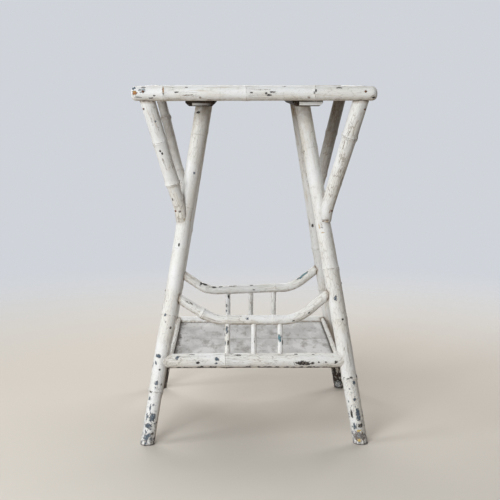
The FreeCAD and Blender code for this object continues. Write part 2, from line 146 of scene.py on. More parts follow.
def oldPaint(name, look, spots=(), shift=(0, 0, 0), skinAt=None):
    finish, start, shader = newFinish(name)
    grain = start.layer("grain", "Vector")
    ring = start.layer("ring")
    nook = start.layer("nook")
    height = start.node("TexCoord", out="Object").part("Z")
    facingUp = start.node("TexCoord", out="Normal").part("Z")

    waver = 0.002
    warped = grain.cloud(260, 3, out="Color").scaled((waver,) * 3, grain)
    drawn = grain.stretch(1, 1, 0.6)
    patches = grain.stretch(1, 1, 0.5).cloud(30, 4, 0.6)
    lumps = drawn.cloud(120, 3, 0.55)
    fibres = grain.stretch(420, 420, 14).cloud(1, 3)
    fine = grain.cloud(900, 3, 0.6)
    dirt = grain.cloud(120, 4, 0.6)
    mottle = grain.cloud(430, 3, 0.6)

    # coat colour: white and cream clouds, yellower toward the top, stained along the grain
    coat = patches.step(0.4, 0.62).tint("white", "cream")
    aged = grain.stretch(40, 40, 14).cloud(1, 4, 0.6)
    upper = 0.4 + height.step(0.3, 0.56) * 0.6
    coat = (aged.step(0.48, 0.72) * upper * look["yellow"]).tint(coat, "ivory")
    coat = (fibres.step(0.52, 0.8) * 0.2).tint(coat, "ivory")
    streak = grain.stretch(120, 120, 11).cloud(1, 4, 0.6)
    coat = (streak.step(0.58, 0.72) * upper * look["stain"]).tint(coat, "tan")
    scabs = drawn.cloud(330, 4, 0.68).step(0.54, 0.68) * 0.5
    grit = grain.cloud(1150, 2).step(0.62, 0.7) * 0.55
    coat = (scabs * look["grit"]).tint(coat, "smoke")
    coat = (grit * look["grit"]).tint(coat, "drab")
    # painted shade: drab toward the top, where the table top shades the piece, with a little dirt noise
    if look["dull"]:
        shaded = (0.85 + dirt.step(0.3, 0.65) * 0.15) * (0.45 + height.step(0.4, 0.53) * 0.55)
        coat = (shaded * look["dull"]).tint(coat, "drab")

    # dirt and painted shade in the nooks, under the piece and near the top
    soiledShaded = nook.step(0.1, 1.0) * dirt.step(0.25, 0.6) * look["nook"]
    soiledShaded = soiledShaded.most(facingUp.step(-0.3, -1.0) * dirt.step(0.3, 0.65) * look["underDirt"])
    soiledShaded = soiledShaded.most(height.step(0.525, 0.568) * dirt.step(0.28, 0.6) * look["topDirt"])
    coat = soiledShaded.tint(coat, "grime")
    tight = nook.step(0.7, 1.0) * dirt.step(0.32, 0.58) * look["nook"]
    coat = tight.tint(coat, "umber")
    if look["footDirt"]:  # paint gone in rags above the floor, darkened there as painted shade
        ragsAndShade = drawn.cloud(170, 5, 0.66) + height.step(0.15, 0.01) * look["footDirt"]
        coat = ragsAndShade.step(0.74, 0.79).tint(coat, dirt.step(0.4, 0.6).tint("umber", "black"))
    if look["sootShade"]:  # painted shadow and dirt, near black
        sootShadeTone = dirt.step(0.35, 0.65).tint("pitch", "umber")
        sootShadeMask = start.layer("sootShade") * (1 - mottle.step(0.62, 0.7) * 0.5) * look["sootShade"]
        coat = sootShadeMask.tint(coat, sootShadeTone)

    # crazing, long splits and lines at the rings
    cells = {"Vector": warped.stretch(230, 230, 46), "Scale": 1.0}
    craze = start.node("TexVoronoi", {"feature": "DISTANCE_TO_EDGE"}, cells, "Distance")
    crazed = craze.step(0.08, 0.02) * patches.step(0.44, 0.6) * look["craze"]
    run = warped.stretch(150, 150, 6).cloud(1, 2)
    gate = grain.stretch(34, 34, 20).cloud(1, 1)
    split = abs(run - 0.5).step(0.012, 0.004) * gate.step(0.52, 0.6) * look["split"]
    line = ring * grain.cloud(230, 2).step(0.42, 0.58) * look["ringLine"]
    cracked = crazed.most(split).most(line)
    coat = cracked.tint(coat, "crack")

    # chips: dark edged, the dark rim being painted shadow at the paint's broken edge; thickest near the
    # floor and on the rings
    chipField = grain.stretch(1, 1, 0.7).cloud(200, 5, 0.62)
    gathered = grain.cloud(30, 2)
    worn = height.step(0.16, 0.0) * look["footWear"] + (gathered - 0.5) * 0.3 + ring * 0.04 + look["wear"]
    chipDepth = chipField + worn
    bared = chipDepth.step(0.735, 0.75)
    ground = mottle.step(0.45, 0.62).tint("slate", "pebble")
    ground = chipDepth.step(0.755, 0.785).tint("edge", ground)
    coat = bared.tint(coat, ground)
    if look["scuff"]:  # rubbed grey at the very foot
        rubbed = drawn.cloud(300, 4, 0.65).step(0.44, 0.58)
        coat = (height.step(0.045, 0.004) * rubbed * look["scuff"]).tint(coat, "grey")
        pecks = grain.cloud(480, 3, 0.65).step(0.57, 0.63) * gathered.step(0.3, 0.55)
        coat = (height.step(0.17, 0.05) * pecks * look["scuff"]).tint(coat, "slate")
        # painted contact shadow: a dark line along the foot's bottom edge
        coat = (height.step(0.0035, 0.001) * look["scuff"]).tint(coat, "umber")
    if look["notch"]:  # broken away below, with painted shade along the underside
        brokenAndShaded = (drawn.cloud(140, 4, 0.62) - 0.5) * 1.5 - facingUp
        coat = (brokenAndShaded.step(0.73, 0.8) * look["notch"]).tint(coat, "pitch")

    # chips in known places, given in mm: along, angle from the front, half length, half width
    ragged = (drawn.cloud(260, 4, 0.65) - 0.5) * 2.6 + (grain.cloud(700, 3, 0.6) - 0.5) * 1.6
    specks = grain.cloud(950, 2).step(0.62, 0.67)
    for toneName in sorted(spots):
        field = None
        for along, angle, halfLong, halfWide in spots[toneName]:
            turn = math.radians(angle)
            radius = skinAt(along * mm)
            centre = Vector((radius * math.cos(turn), radius * math.sin(turn), along * mm))
            centre += Vector(shift) + Vector((waver / 2,) * 3)
            squeeze = Vector((1 / halfWide, 1 / halfWide, 1 / halfLong)) / mm
            away = warped.scaled(squeeze, Vector([-a * b for a, b in zip(centre, squeeze)])).size()
            field = away if field is None else field.least(away)
        edge, body, flecks = spotForms[toneName]
        depth = 1.0 - (field + ragged)
        inside = mottle.step(0.47, 0.66).tint(body, flecks)
        spotColour = depth.step(0.06, 0.3).tint(edge, inside)
        spotMask = depth.step(-0.06, 0.06)
        coat = (specks * field.step(2.4, 1.2) * 0.6).tint(coat, edge)
        coat = spotMask.tint(coat, spotColour)
        bared = bared.most(spotMask)

    coat.feed(shader, "Base Color")
    rough = 0.46 + fine * 0.12 + soiledShaded * 0.2 + bared * 0.25
    rough.feed(shader, "Roughness")
    relief = fibres * 0.1 + fine * 0.08 + lumps * 0.55 + mottle * 0.3 - bared * 0.9 - cracked * 0.5
    relief.emboss(shader, 0.6, 0.0009)
    shader.inputs["Specular IOR Level"].default_value = look["gloss"]
    return finish


# Thin worn wash on the shelf boards
def weatheredBoard(name):
    finish, start, shader = newFinish(name)
    grain = start.layer("grain", "Vector")
    nook = start.layer("nook")
    waver = grain.stretch(26, 26, 9).cloud(1, 2, out="Color")
    bent = waver.scaled((0.008,) * 3, grain)
    figure = bent.stretch(330, 330, 9).cloud(1, 5, 0.62)
    pores = bent.stretch(900, 900, 30).cloud(1, 3, 0.6)
    runs = grain.stretch(0.34, 1, 1)  # stains run from the front to the back
    blots = runs.cloud(27, 5, 0.62)
    smudge = runs.cloud(66, 5, 0.66)
    coat = (figure.step(0.3, 0.62) * 0.35).tint("wash", "dust")
    coat = (blots.step(0.44, 0.6) * 0.8).tint(coat, "pale")
    coat = (smudge.step(0.5, 0.68) * 0.7).tint(coat, "blot")
    coat = (pores.step(0.6, 0.8) * 0.2).tint(coat, "blot")
    spots = runs.cloud(260, 4, 0.65)
    coat = (spots.step(0.62, 0.7) * 0.6).tint(coat, "blot")
    coat = (spots.step(0.71, 0.75) * 0.8).tint(coat, "seam")
    across = start.node("TexCoord", out="Object").part("X")
    # painted shadow of the left bead, cast on the shelf's left end
    beadShadow = (across + (smudge - 0.5) * 0.05).step(-0.129, -0.137)
    coat = (beadShadow * (0.7 + blots.step(0.4, 0.6) * 0.25)).tint(coat, "seam")
    # dirt and painted shade where the boards meet the beads, rails and each other
    coat = (nook.step(0.2, 0.8) * 0.95).tint(coat, "seam")
    coat.feed(shader, "Base Color")
    (0.62 + pores * 0.2).feed(shader, "Roughness")
    (figure * 0.7 + pores * 0.4).emboss(shader, 0.45, 0.0006)
    shader.inputs["Specular IOR Level"].default_value = 0.3
    return finish


def bareWood(name):  # pegs, plugs, dowels and cleats
    finish, start, shader = newFinish(name)
    place = start.node("TexCoord", out="Object")
    figure = place.stretch(60, 420, 420).cloud(1, 4, 0.6)
    blots = place.cloud(70, 3)
    coat = figure.step(0.32, 0.68).tint("woodDark", "woodPale")
    coat = (blots.step(0.45, 0.7) * 0.6).tint(coat, "woodStain")
    coat.feed(shader, "Base Color")
    (0.6 + figure * 0.2).feed(shader, "Roughness")
    figure.emboss(shader, 0.4, 0.0004)
    return finish


def rustyNail(name):
    finish, start, shader = newFinish(name)
    place = start.node("TexCoord", out="Object")
    scale = place.cloud(900, 4, 0.6)
    coat = scale.step(0.35, 0.65).tint("ironDark", "ironRed")
    coat.feed(shader, "Base Color")
    (0.55 + scale * 0.3).feed(shader, "Roughness")
    scale.step(0.6, 0.4).feed(shader, "Metallic")
    scale.emboss(shader, 0.5, 0.0002)
    return finish


# Ways and sides that come up again and again
alongX = Vector((1, 0, 0))
alongY = Vector((0, 1, 0))
upward = Vector((0, 0, 1))
frontRear = (("front", -1), ("rear", 1))
leftRight = (("left", -1), ("right", 1))
corners = [("frontLeft", -1, -1), ("frontRight", 1, -1), ("rearLeft", -1, 1), ("rearRight", 1, 1)]
cornerAt = {(sx, sy): corner for corner, sx, sy in corners}


# Runs that a cane follows: its length, and the point and direction at a distance along it
def straightRun(first, last):
    first = Vector(first)
    way = Vector(last) - first
    length = way.length
    way.normalize()
    front = Vector((0, 0, 1)) if abs(way.y) > 0.9 else Vector((0, -1, 0))
    return {"length": length, "front": front, "at": lambda s: (first + way * s, way)}


def bentRun(knots):  # each corner is eased by cutting it again and again
    points = [Vector(k) for k in knots]
    for cut in range(4):
        eased = [points[0]]
        for a, b in zip(points, points[1:]):
            eased += [a.lerp(b, 0.25), a.lerp(b, 0.75)]
        points = eased + [points[-1]]
    marks = [0.0]
    for a, b in zip(points, points[1:]):
        marks.append(marks[-1] + (b - a).length)

    def pointAt(s):
        i = min(max(bisect.bisect(marks, s), 1), len(marks) - 1)
        share = (s - marks[i - 1]) / (marks[i] - marks[i - 1])
        return points[i - 1] + (points[i] - points[i - 1]) * share

    def at(s):
        return pointAt(s), (pointAt(s + 0.002) - pointAt(s - 0.002)).normalized()

    return {"length": marks[-1], "front": Vector((0, -1, 0)), "at": at}


def between(pairs, place):  # eased value between (place, value) pairs
    if place <= pairs[0][0]:
        return pairs[0][1]
    for (a, low), (b, high) in zip(pairs, pairs[1:]):
        if place <= b:
            k = (place - a) / (b - a)
            return low + (high - low) * k * k * (3 - 2 * k)
    return pairs[-1][1]


# Form of a cane: rises and groove of a growth ring, the spacing of its points, and its unevenness
caneForm = {
    "rises": [(0.001, 0, 0.0055), (0.00045, -0.0014, 0.0009), (0.000315, 0.0015, 0.001),
              (-0.0005, 0, 0.00042)],  # height, place and half width
    "reach": 0.0065, "spacing": 0.0026, "ringSpacing": 0.0004, "ringSteps": 16, "arcStep": 15,
    "boreEase": (0.0005, 0.0006), "lineHalf": 0.0007, "slant": 0.05, "slantHalf": 0.012,
    "lump": 0.018, "lumpScale": (60, 60, 9), "dent": 0.007, "dentScale": (150, 150, 45),
    "wander": 0.0009, "wanderScale": 7, "slack": 0.001, "weld": 1e-6,
}


def hump(d, half):
    return math.exp(-(d / half) ** 2)


def ringRise(d):
    return sum(rise * hump(d - at, half) for rise, at, half in caneForm["rises"])


def caneOutline(length, shape):
    rings = shape["rings"]
    count = round(length / caneForm["spacing"])
    marks = [i * length / count for i in range(count + 1)]
    marks = [m for m in marks if all(abs(m - place) > caneForm["reach"] for place, size in rings)]
    for place, size in rings:
        near = range(-caneForm["ringSteps"], caneForm["ringSteps"] + 1)
        marks += [place + i * caneForm["ringSpacing"] for i in near]
    for start, curve in enumerate(shape["ends"]):
        marks = [m for m in marks if abs(m - start * length) > curve]
        arc = [1 - math.cos(math.radians(k)) for k in range(0, 91, caneForm["arcStep"])]
        marks += [abs(start * length - curve * k) for k in arc]
    outline = []
    for m in sorted(marks):
        radius = between(shape["girth"], m / length) / 2
        radius += sum(size * ringRise(m - place) for place, size in rings)
        for curve, inset in zip(shape["ends"], (m, length - m)):
            if inset < curve:
                radius -= curve - math.sqrt(max(0.0, curve ** 2 - (curve - inset) ** 2))
        outline.append((radius, m))
    if "bore" in shape:
        bore, deep = shape["bore"]
        wide, rise = caneForm["boreEase"]
        return [(0, deep), (bore, deep), (bore, rise), (bore + wide, 0)] + outline + [(0, length)]
    return [(0, 0)] + outline + [(0, length)]


def aside(vector, way):  # the part of it that is square to the way
    return vector - way * vector.dot(way)


# Lines that run out from a cane's end, and where they stop
def meetCane(point, way, radius):
    def reach(root, line):
        gap = aside(root - point, way)
        slide = aside(line, way)
        a = slide.dot(slide)
        b = 2 * gap.dot(slide)
        inside = b * b - 4 * a * (gap.dot(gap) - radius ** 2)
        return (-b - math.sqrt(max(0, inside))) / (2 * a)
    return reach


def meetPlane(point, normal):
    def reach(root, line):
        return (point - root).dot(normal) / line.dot(normal)
    return reach


def stopAt(zone, *faces):  # the end is drawn out or in over this length
    return {"zone": zone, "at": faces}


def seedShift(seed):  # each piece takes its own stretch of the pattern
    return Vector((0.173, 0.291, 0.817)) * seed


def newForm():  # a mesh with room for what the paint reads
    bm = bmesh.new()
    grainLayer = bm.verts.layers.float_vector.new("grain")
    bm.verts.layers.float.new("ring")
    return bm, grainLayer


def spinOutline(bm, outline, sides):
    tip = bmesh.ops.create_vert(bm, co=(outline[0][0], 0, outline[0][1]))["vert"][0]
    for radius, along in outline[1:]:
        tip = bmesh.ops.extrude_vert_indiv(bm, verts=[tip])["verts"][0]
        tip.co = (radius, 0, along)
    bmesh.ops.spin(bm, geom=bm.verts[:] + bm.edges[:], cent=(0, 0, 0), axis=upward, angle=2 * math.pi,
                   steps=sides, use_merge=True)
    bmesh.ops.remove_doubles(bm, verts=bm.verts[:], dist=caneForm["weld"])
    bmesh.ops.recalc_face_normals(bm, faces=bm.faces[:])


def growCane(run, shape):
    length = run["length"]
    rings = shape["rings"]
    bm, grainLayer = newForm()
    ringLayer = bm.verts.layers.float["ring"]
    spinOutline(bm, caneOutline(length, shape), shape["sides"])
    seed = seedShift(shape["seed"])
    sways = shape.get("sway", [(0, 0)])
    toEnds = []
    for v in bm.verts:
        x, y, s = v.co
        share = s / length
        v[grainLayer] = Vector((x, y, s)) + seed
        v[ringLayer] = sum(min(1, size) * hump(s - place, caneForm["lineHalf"]) for place, size in rings)
        for index, (place, size) in enumerate(rings):  # rings lie a little aslant
            turn = shape["seed"] * 2.1 + index * 2.4
            slant = caneForm["slant"] * (x * math.cos(turn) + y * math.sin(turn))
            s += slant * hump(s - place, caneForm["slantHalf"])
        here = Vector((x, y, s))
        lump = noise.noise(here * Vector(caneForm["lumpScale"]) + seed)
        dent = noise.noise(here * Vector(caneForm["dentScale"]) - seed)
        swell = 1 + (caneForm["lump"] * lump + caneForm["dent"] * dent) * shape.get("rugged", 1)
        far = s * caneForm["wanderScale"]
        wander = noise.noise(Vector((shape["seed"] * 3.7, 0.5, far))) * caneForm["wander"]
        stray = noise.noise(Vector((0.5, shape["seed"] * 5.3, far))) * caneForm["wander"]
        free = math.sin(math.pi * min(1, max(0, share)))
        point, way = run["at"](s)
        front = aside(run["front"], way).normalized()
        v.co = point + front * (x * swell + wander * free)
        v.co += way.cross(front) * (y * swell + stray * free + between(sways, share))
        toEnds.append((v, s, length - s))
    for end, stops in enumerate(shape.get("stops", (None, None))):
        if stops is None:
            continue
        zone = stops["zone"]
        way = run["at"](length)[1] if end else -run["at"](0)[1]
        for entry in toEnds:
            left = entry[1 + end]
            if -caneForm["slack"] < left < zone:
                v = entry[0]
                root = v.co - way * (zone - left)
                reach = min(stop(root, way) for stop in stops["at"])
                v.co = root + way * reach * (zone - left) / zone
    if "hug" in shape:  # hollowed to lie on the skin of another cane
        point, way, out, skin = (shape["hug"][k] for k in ("point", "way", "out", "skin"))
        out = aside(out, way).normalized()
        for v in bm.verts:
            gap = aside(v.co - point, way)
            deep = gap.dot(out)
            wide = (gap - out * deep).length
            if wide < skin:
                v.co += out * max(0, math.sqrt(skin ** 2 - wide ** 2) - deep)
    return bm


pieces = {}
surfaces = {}


def newObject(name, data):
    made = bpy.data.objects.new(name, data)
    bpy.context.scene.collection.objects.link(made)
    return made


def addPiece(name, bm, finish, nodes):
    mesh = bpy.data.meshes.new(name)
    surfaces[name] = BVHTree.FromBMesh(bm)
    bm.to_mesh(mesh)
    bm.free()
    mesh.polygons.foreach_set("use_smooth", [True] * len(mesh.polygons))
    mesh.materials.append(finish)
    piece = newObject(name, mesh)
    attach(piece, "root")
    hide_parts(*nodes)
    pieces[name] = piece


caneLook = {
    "yellow": 0.5, "stain": 0.4, "grit": 0.6, "dull": 0, "nook": 0.75, "underDirt": 0.6, "topDirt": 0,
    "footDirt": 0, "sootShade": 0, "craze": 0.4, "split": 0.7, "ringLine": 0.7, "footWear": 0.15, "wear": 0.0,
    "scuff": 0, "notch": 0, "gloss": 0.2,
}
plainCane = oldPaint("whiteCane", caneLook)


def shapeOf(group, name):  # what the pieces of a group share, and what is this one's own
    shared = {k: group[k] for k in ("sides", "ends", "bore", "rugged") if k in group}
    look = {**group.get("look", {}), **group[name].get("look", {})}
    return {**shared, **group[name], "look": look}


def addCane(name, run, shape, nodes):
    finish = plainCane

    def skinAt(s):
        return between(shape["girth"], s / run["length"]) / 2

    if "spots" in shape or shape["look"]:
        finish = oldPaint(name + "Paint", {**caneLook, **shape["look"]}, shape.get("spots", ()),
                          seedShift(shape["seed"]), skinAt)
    addPiece(name, growCane(run, shape), finish, nodes)


# Rim of the top: two long poles with rounded ends, two side poles shaped to them
rimPoles = {
    "height": 0.592, "out": 0.188, "half": 0.2, "sideOut": 0.18, "skin": 0.012, "zone": 0.04,
    "sides": 40, "rugged": 0.5, "ends": (0.0006, 0.0006),
    "front": {
        "girth": [(0, 0.0240), (0.12, 0.0246), (0.45, 0.0242), (0.75, 0.0236), (1, 0.0236)],
        "rings": [(0.0525, 0.5), (0.1444, 0.25), (0.1865, 0.5), (0.2995, 0.55)],
        "ends": (0.0085, 0.0085), "seed": 1,
        "spots": {
            "wood": [(6, -5, 4.5, 4)],
            "slate": [(4, -50, 4, 4)],
            "mist": [(19, -25, 5, 3.4)],
            "black": [(21, -55, 3.5, 1), (11, 30, 6.5, 1), (33, 35, 4, 1), (38, 15, 2, 1),
                      (53, 5, 0.9, 2.6), (74, -10, 3.5, 1), (90, -55, 2.5, 1), (195, -5, 2.5, 1),
                      (219, 0, 2.2, 2), (224, 15, 3.4, 2), (230, -10, 4.4, 1.4), (248, -65, 3, 1),
                      (297, -5, 1, 2), (300, -20, 1, 2.3), (337, -50, 4, 1.5), (393, 35, 3, 2)],
            "rust": [(53, -30, 1.2, 5)],
        },
        "look": {"underDirt": 0.35, "ringLine": 1.0, "craze": 0.2, "split": 1.0},
    },
    "rear": {
        "girth": [(0, 0.0236), (0.3, 0.0244), (0.7, 0.0238), (1, 0.0242)],
        "rings": [(0.088, 0.6), (0.2116, 0.5), (0.3274, 0.6)],
        "ends": (0.0085, 0.0085), "seed": 2,
    },
    "left": {
        "girth": [(0, 0.0238), (0.5, 0.0243), (1, 0.0236)],
        "rings": [(0.0902, 0.6), (0.2068, 0.5), (0.3083, 0.6)], "seed": 3,
    },
    "right": {
        "girth": [(0, 0.0242), (0.5, 0.0236), (1, 0.0241)],
        "rings": [(0.0639, 0.6), (0.1767, 0.5), (0.297, 0.6)], "seed": 4,
    },
}


def rimPoint(x, y):
    return Vector((x, y, rimPoles["height"]))


for end, sy in frontRear:
    depth = sy * rimPoles["out"]
    run = straightRun(rimPoint(-rimPoles["half"], depth), rimPoint(rimPoles["half"], depth))
    addCane(end + "Pole", run, shapeOf(rimPoles, end), ["top_pole_" + end, "top_pole_caps"])
for side, sx in leftRight:
    first, last = (rimPoint(sx * rimPoles["sideOut"], sy * rimPoles["out"]) for end, sy in frontRear)
    shape = shapeOf(rimPoles, side)
    stops = (meetCane(point, alongX, rimPoles["skin"]) for point in (first, last))
    shape["stops"] = [stopAt(rimPoles["zone"], stop) for stop in stops]
    addCane(side + "Pole", straightRun(first, last), shape, ["top_pole_" + side])
print("rim poles made")


# Four splayed legs
legs = {
    "foot": 0.182, "top": 0.085, "height": 0.571, "zones": (0.06, 0.04),
    "sides": 40, "ends": (0.0009, 0.0006), "bore": (0.008, 0.03),
    "look": {"footWear": 0.2, "topDirt": 0.5, "scuff": 0.7},
    "frontLeft": {
        "girth": [(0, 0.0238), (0.05, 0.0230), (0.15, 0.0226), (0.165, 0.0246), (0.3, 0.0258),
                  (0.46, 0.0262), (0.54, 0.0258), (0.62, 0.0256), (0.84, 0.0250), (0.93, 0.0244),
                  (1, 0.0248)],
        "sway": [(0, 0), (0.1, -0.0006), (0.22, -0.0008), (0.47, 0.0008), (0.55, 0.0006),
                 (0.7, -0.0004), (1, -0.0012)],
        "rings": [(0.0905, 1.0), (0.2219, 0.7), (0.338, 0.3), (0.4085, 0.4), (0.5345, 0.5)], "seed": 5,
        "spots": {
            "black": [(574, -25, 2.2, 3.2), (344, -10, 2.5, 1.2), (202, 30, 2, 1.7), (129, 5, 1.5, 1.4),
                      (105, 40, 1.5, 1.4), (89, -40, 1.4, 2.2), (20, 30, 2.2, 2.7)],
            "slate": [(468, 20, 2, 1.7), (222, -25, 2.5, 2), (152, -25, 3.5, 5), (139, -35, 3.5, 2),
                      (135, -70, 5, 1.7), (106, -5, 3.5, 3), (79, -45, 3.5, 2.3), (69, 0, 1.7, 1.5),
                      (63, -25, 5, 1.5), (48, 5, 7.5, 5.5), (33, -15, 3.5, 6), (22, -25, 1.7, 1.5),
                      (13, -20, 5, 4.5), (18, 0, 3, 4)],
            "straw": [(389, 55, 2, 1.2)],
        },
        "look": {"stain": 0.3, "craze": 0.2, "split": 0.5},
    },
    "frontRight": {
        "girth": [(0, 0.0248), (0.08, 0.0248), (0.17, 0.0256), (0.3, 0.0266), (0.48, 0.0276),
                  (0.56, 0.0274), (0.72, 0.0252), (0.86, 0.0264), (1, 0.0260)],
        "rings": [(0.112, 1.0), (0.2148, 0.5), (0.3015, 0.9), (0.5115, 0.4)], "seed": 6,
        "spots": {
            "black": [(508, -55, 1.5, 1.2), (254, 0, 1.5, 1.5), (214, 20, 2, 2), (115, -45, 1.6, 2),
                      (112, -15, 1.3, 2.2), (113, 10, 1.4, 2), (113, 60, 2.5, 2), (54, -35, 7, 2),
                      (32, 20, 3, 4)],
            "straw": [(376, -35, 4, 1.2), (365, -15, 1, 2.7)],
            "slate": [(251, -10, 3.8, 2.7), (104, 25, 3, 3), (95, -15, 1.5, 1.5), (76, 10, 2.6, 2.6),
                      (74, -45, 1.7, 1), (50, 15, 11, 3.4), (54, 70, 4, 1), (32, -30, 5, 2.2)],
            "grey": [(15, -5, 7, 9)],
            "ochre": [(24, 0, 2, 3.4), (8, -10, 2.6, 3)],
        },
        "look": {"topDirt": 0.4, "craze": 0.3, "split": 0.9},
    },
    "rearLeft": {
        "girth": [(0, 0.0248), (0.2, 0.0252), (0.5, 0.0266), (0.8, 0.0258), (1, 0.0254)],
        "rings": [(0.0867, 0.9), (0.2219, 0.7), (0.3385, 0.7), (0.5345, 0.5)], "seed": 7,
        "look": {"footWear": 0.1, "footDirt": 0.36, "dull": 0.2},
    },
    "rearRight": {
        "girth": [(0, 0.0250), (0.25, 0.0258), (0.55, 0.0268), (0.8, 0.0256), (1, 0.0258)],
        "rings": [(0.1091, 0.9), (0.2148, 0.6), (0.3026, 0.8), (0.5115, 0.5)], "seed": 8,
        "spots": {"black": [(350, -30, 3.3, 2.9)], "mist": [(9, -25, 8, 7)]},
        "look": {"footWear": 0.1, "footDirt": 0.34, "dull": 0.4, "yellow": 0.9, "stain": 1.0,
                 "topDirt": 1.0},
    },
}


def nodeName(kind, corner):  # frontLeft becomes kind_front_left
    return kind + "_" + corner.replace("Left", "_left").replace("Right", "_right")


def legHalf(z):
    return legs["foot"] - (legs["foot"] - legs["top"]) * z / legs["height"]


def legPoint(sx, sy, z):
    return Vector((sx * legHalf(z), sy * legHalf(z), z))


def legWay(sx, sy):
    return (legPoint(sx, sy, legs["height"]) - legPoint(sx, sy, 0)).normalized()


def legSkin(sx, sy, z):
    return between(legs[cornerAt[sx, sy]]["girth"], z / legs["height"]) / 2


def meetLeg(sx, sy, z):  # stops at that leg's skin
    return meetCane(legPoint(sx, sy, 0), legWay(sx, sy), legSkin(sx, sy, z))


for corner, sx, sy in corners:
    low = legPoint(sx, sy, 0)
    high = legPoint(sx, sy, legs["height"])
    shape = shapeOf(legs, corner)
    shape["stops"] = [stopAt(zone, meetPlane(p, upward)) for zone, p in zip(legs["zones"], (low, high))]
    addCane(corner + "Leg", straightRun(low, high), shape, [nodeName("leg", corner)])
print("legs made")


# Braces from under the rim's corners down to the legs
braces = {
    "footHeight": 0.378, "footOut": 0.0025, "topX": 0.1745, "topY": 0.179, "topHeight": 0.580,
    "lap": 0.005, "proud": 0.0006, "knee": 0.022, "kick": 0.0018, "drop": 0.004,
    "zones": (0.03, 0.05), "rimSkin": 0.0121, "hugHeight": 0.4, "sides": 36, "ends": (0.0008, 0.0006),
    "frontLeft": {
        "girth": [(0, 0.0202), (0.2, 0.0208), (0.305, 0.0212), (0.325, 0.0236), (0.6, 0.0236),
                  (0.66, 0.0242), (1, 0.0246)],
        "rings": [(0.0705, 1.0), (0.149, 0.6)], "seed": 9,
        "spots": {
            "slate": [(186, 15, 1.7, 1.5)],
            "black": [(135, -15, 2.2, 1.7), (130, -5, 2, 1.2), (46, -45, 2.5, 1.8)],
            "grey": [(21, -5, 2.2, 1.8)],
            "straw": [(4, 35, 3, 1.6)],
        },
        "look": {"yellow": 0.5, "stain": 0.4, "grit": 0.4, "split": 0.9, "craze": 0.5},
    },
    "frontRight": {
        "girth": [(0, 0.0210), (0.2, 0.0228), (0.45, 0.0238), (0.68, 0.0248), (0.72, 0.0256), (1, 0.0260)],
        "rings": [(0.0705, 0.3), (0.1568, 1.2)], "seed": 10,
        "spots": {
            "rust": [(21, 25, 5, 1.3)],
            "gape": [(1, -40, 0.9, 5), (4, 0, 0.9, 5.5)],
            "straw": [(1, 15, 1, 3)],
        },
        "look": {"yellow": 0.3, "stain": 0.3, "grit": 0.4, "split": 0.9, "craze": 0.5},
    },
    "rearLeft": {
        "girth": [(0, 0.0152), (0.35, 0.0164), (0.7, 0.0178), (1, 0.0178)],
        "rings": [(0.0714, 0.7), (0.1785, 1.4)], "seed": 11,
        # darker toward the top: painted shade under the table top
        "look": {"dull": 0.85, "stain": 0.5},
    },
    "rearRight": {
        "girth": [(0, 0.0210), (0.5, 0.0222), (1, 0.0228)],
        "rings": [(0.0639, 0.7), (0.1491, 0.6)], "seed": 12,
        # darker toward the top: painted shade under the table top
        "look": {"dull": 0.8, "stain": 0.6},
    },
}


def braceEnds(sx, sy):
    footAt = legHalf(braces["footHeight"]) + braces["footOut"]
    low = Vector((sx * footAt, sy * footAt, braces["footHeight"]))
    return low, Vector((sx * braces["topX"], sy * braces["topY"], braces["topHeight"]))


def braceRun(sx, sy):  # straight, but for a small kick at the foot
    low, high = braceEnds(sx, sy)
    way = (high - low).normalized()
    foot = low + Vector((sx * braces["kick"], sy * braces["kick"], -braces["drop"]))
    return bentRun([foot, low + way * braces["knee"], low + way * 2 * braces["knee"], high])


for corner, sx, sy in corners:
    run = braceRun(sx, sy)
    level = meetPlane(run["at"](0)[0], upward)
    rim = meetCane(rimPoint(0, sy * rimPoles["out"]), alongX, braces["rimSkin"])
    sidePole = meetCane(rimPoint(sx * rimPoles["sideOut"], 0), alongY, braces["rimSkin"])
    lap = meetPlane(upward * (braces["topHeight"] + braces["lap"]), upward)
    footZone, topZone = braces["zones"]
    shape = shapeOf(braces, corner)
    shape["stops"] = [stopAt(footZone, level), stopAt(topZone, rim, sidePole, lap)]
    shape["hug"] = {"point": legPoint(sx, sy, 0), "way": legWay(sx, sy), "out": Vector((sx, sy, 0)),
                    "skin": legSkin(sx, sy, braces["hugHeight"]) + braces["proud"]}
    addCane(corner + "Brace", run, shape, [nodeName("brace", corner)])
print("braces made")


# Shelf rails between the legs
rails = {
    "height": 0.139, "zone": 0.05, "sides": 40, "ends": (0.0005, 0.0005),
    "look": {"underDirt": 0.3, "notch": 0.95, "split": 0.45},
    "front": {
        "girth": [(0, 0.0246), (0.3, 0.0252), (0.5, 0.0248), (0.8, 0.0252), (1, 0.0246)],
        "rings": [(0.1109, 0.7), (0.228, 0.3)], "seed": 13,
        "spots": {
            "slate": [(24, -40, 4, 3.4), (96, -25, 3, 3.4), (94, 10, 2, 1.7)],
            "black": [(63, 5, 2.7, 2.2), (69, 45, 4, 2.4), (85, 45, 2.4, 1.7), (53, -70, 6, 1),
                      (131, -60, 7.5, 1.5), (121, -75, 3.4, 1.2), (242, 10, 13, 4), (258, 10, 4, 2),
                      (229, -70, 3.4, 1.4), (260, -70, 2.7, 1.2), (269, 0, 1.5, 1.5), (301, 0, 3, 2),
                      (281, 0, 2.2, 1)],
        },
    },
    "rear": {
        "girth": [(0, 0.0242), (0.4, 0.0236), (1, 0.0243)],
        "rings": [(0.0887, 0.7), (0.1901, 0.6)], "seed": 14,
    },
}
railOut = legHalf(rails["height"])
for end, sy in frontRear:
    first, last = (legPoint(sx, sy, rails["height"]) for sx in (-1, 1))
    shape = shapeOf(rails, end)
    shape["stops"] = [stopAt(rails["zone"], meetLeg(sx, sy, rails["height"])) for sx in (-1, 1)]
    addCane(end + "ShelfRail", straightRun(first, last), shape, ["shelf_rail_" + end])
print("shelf rails made")


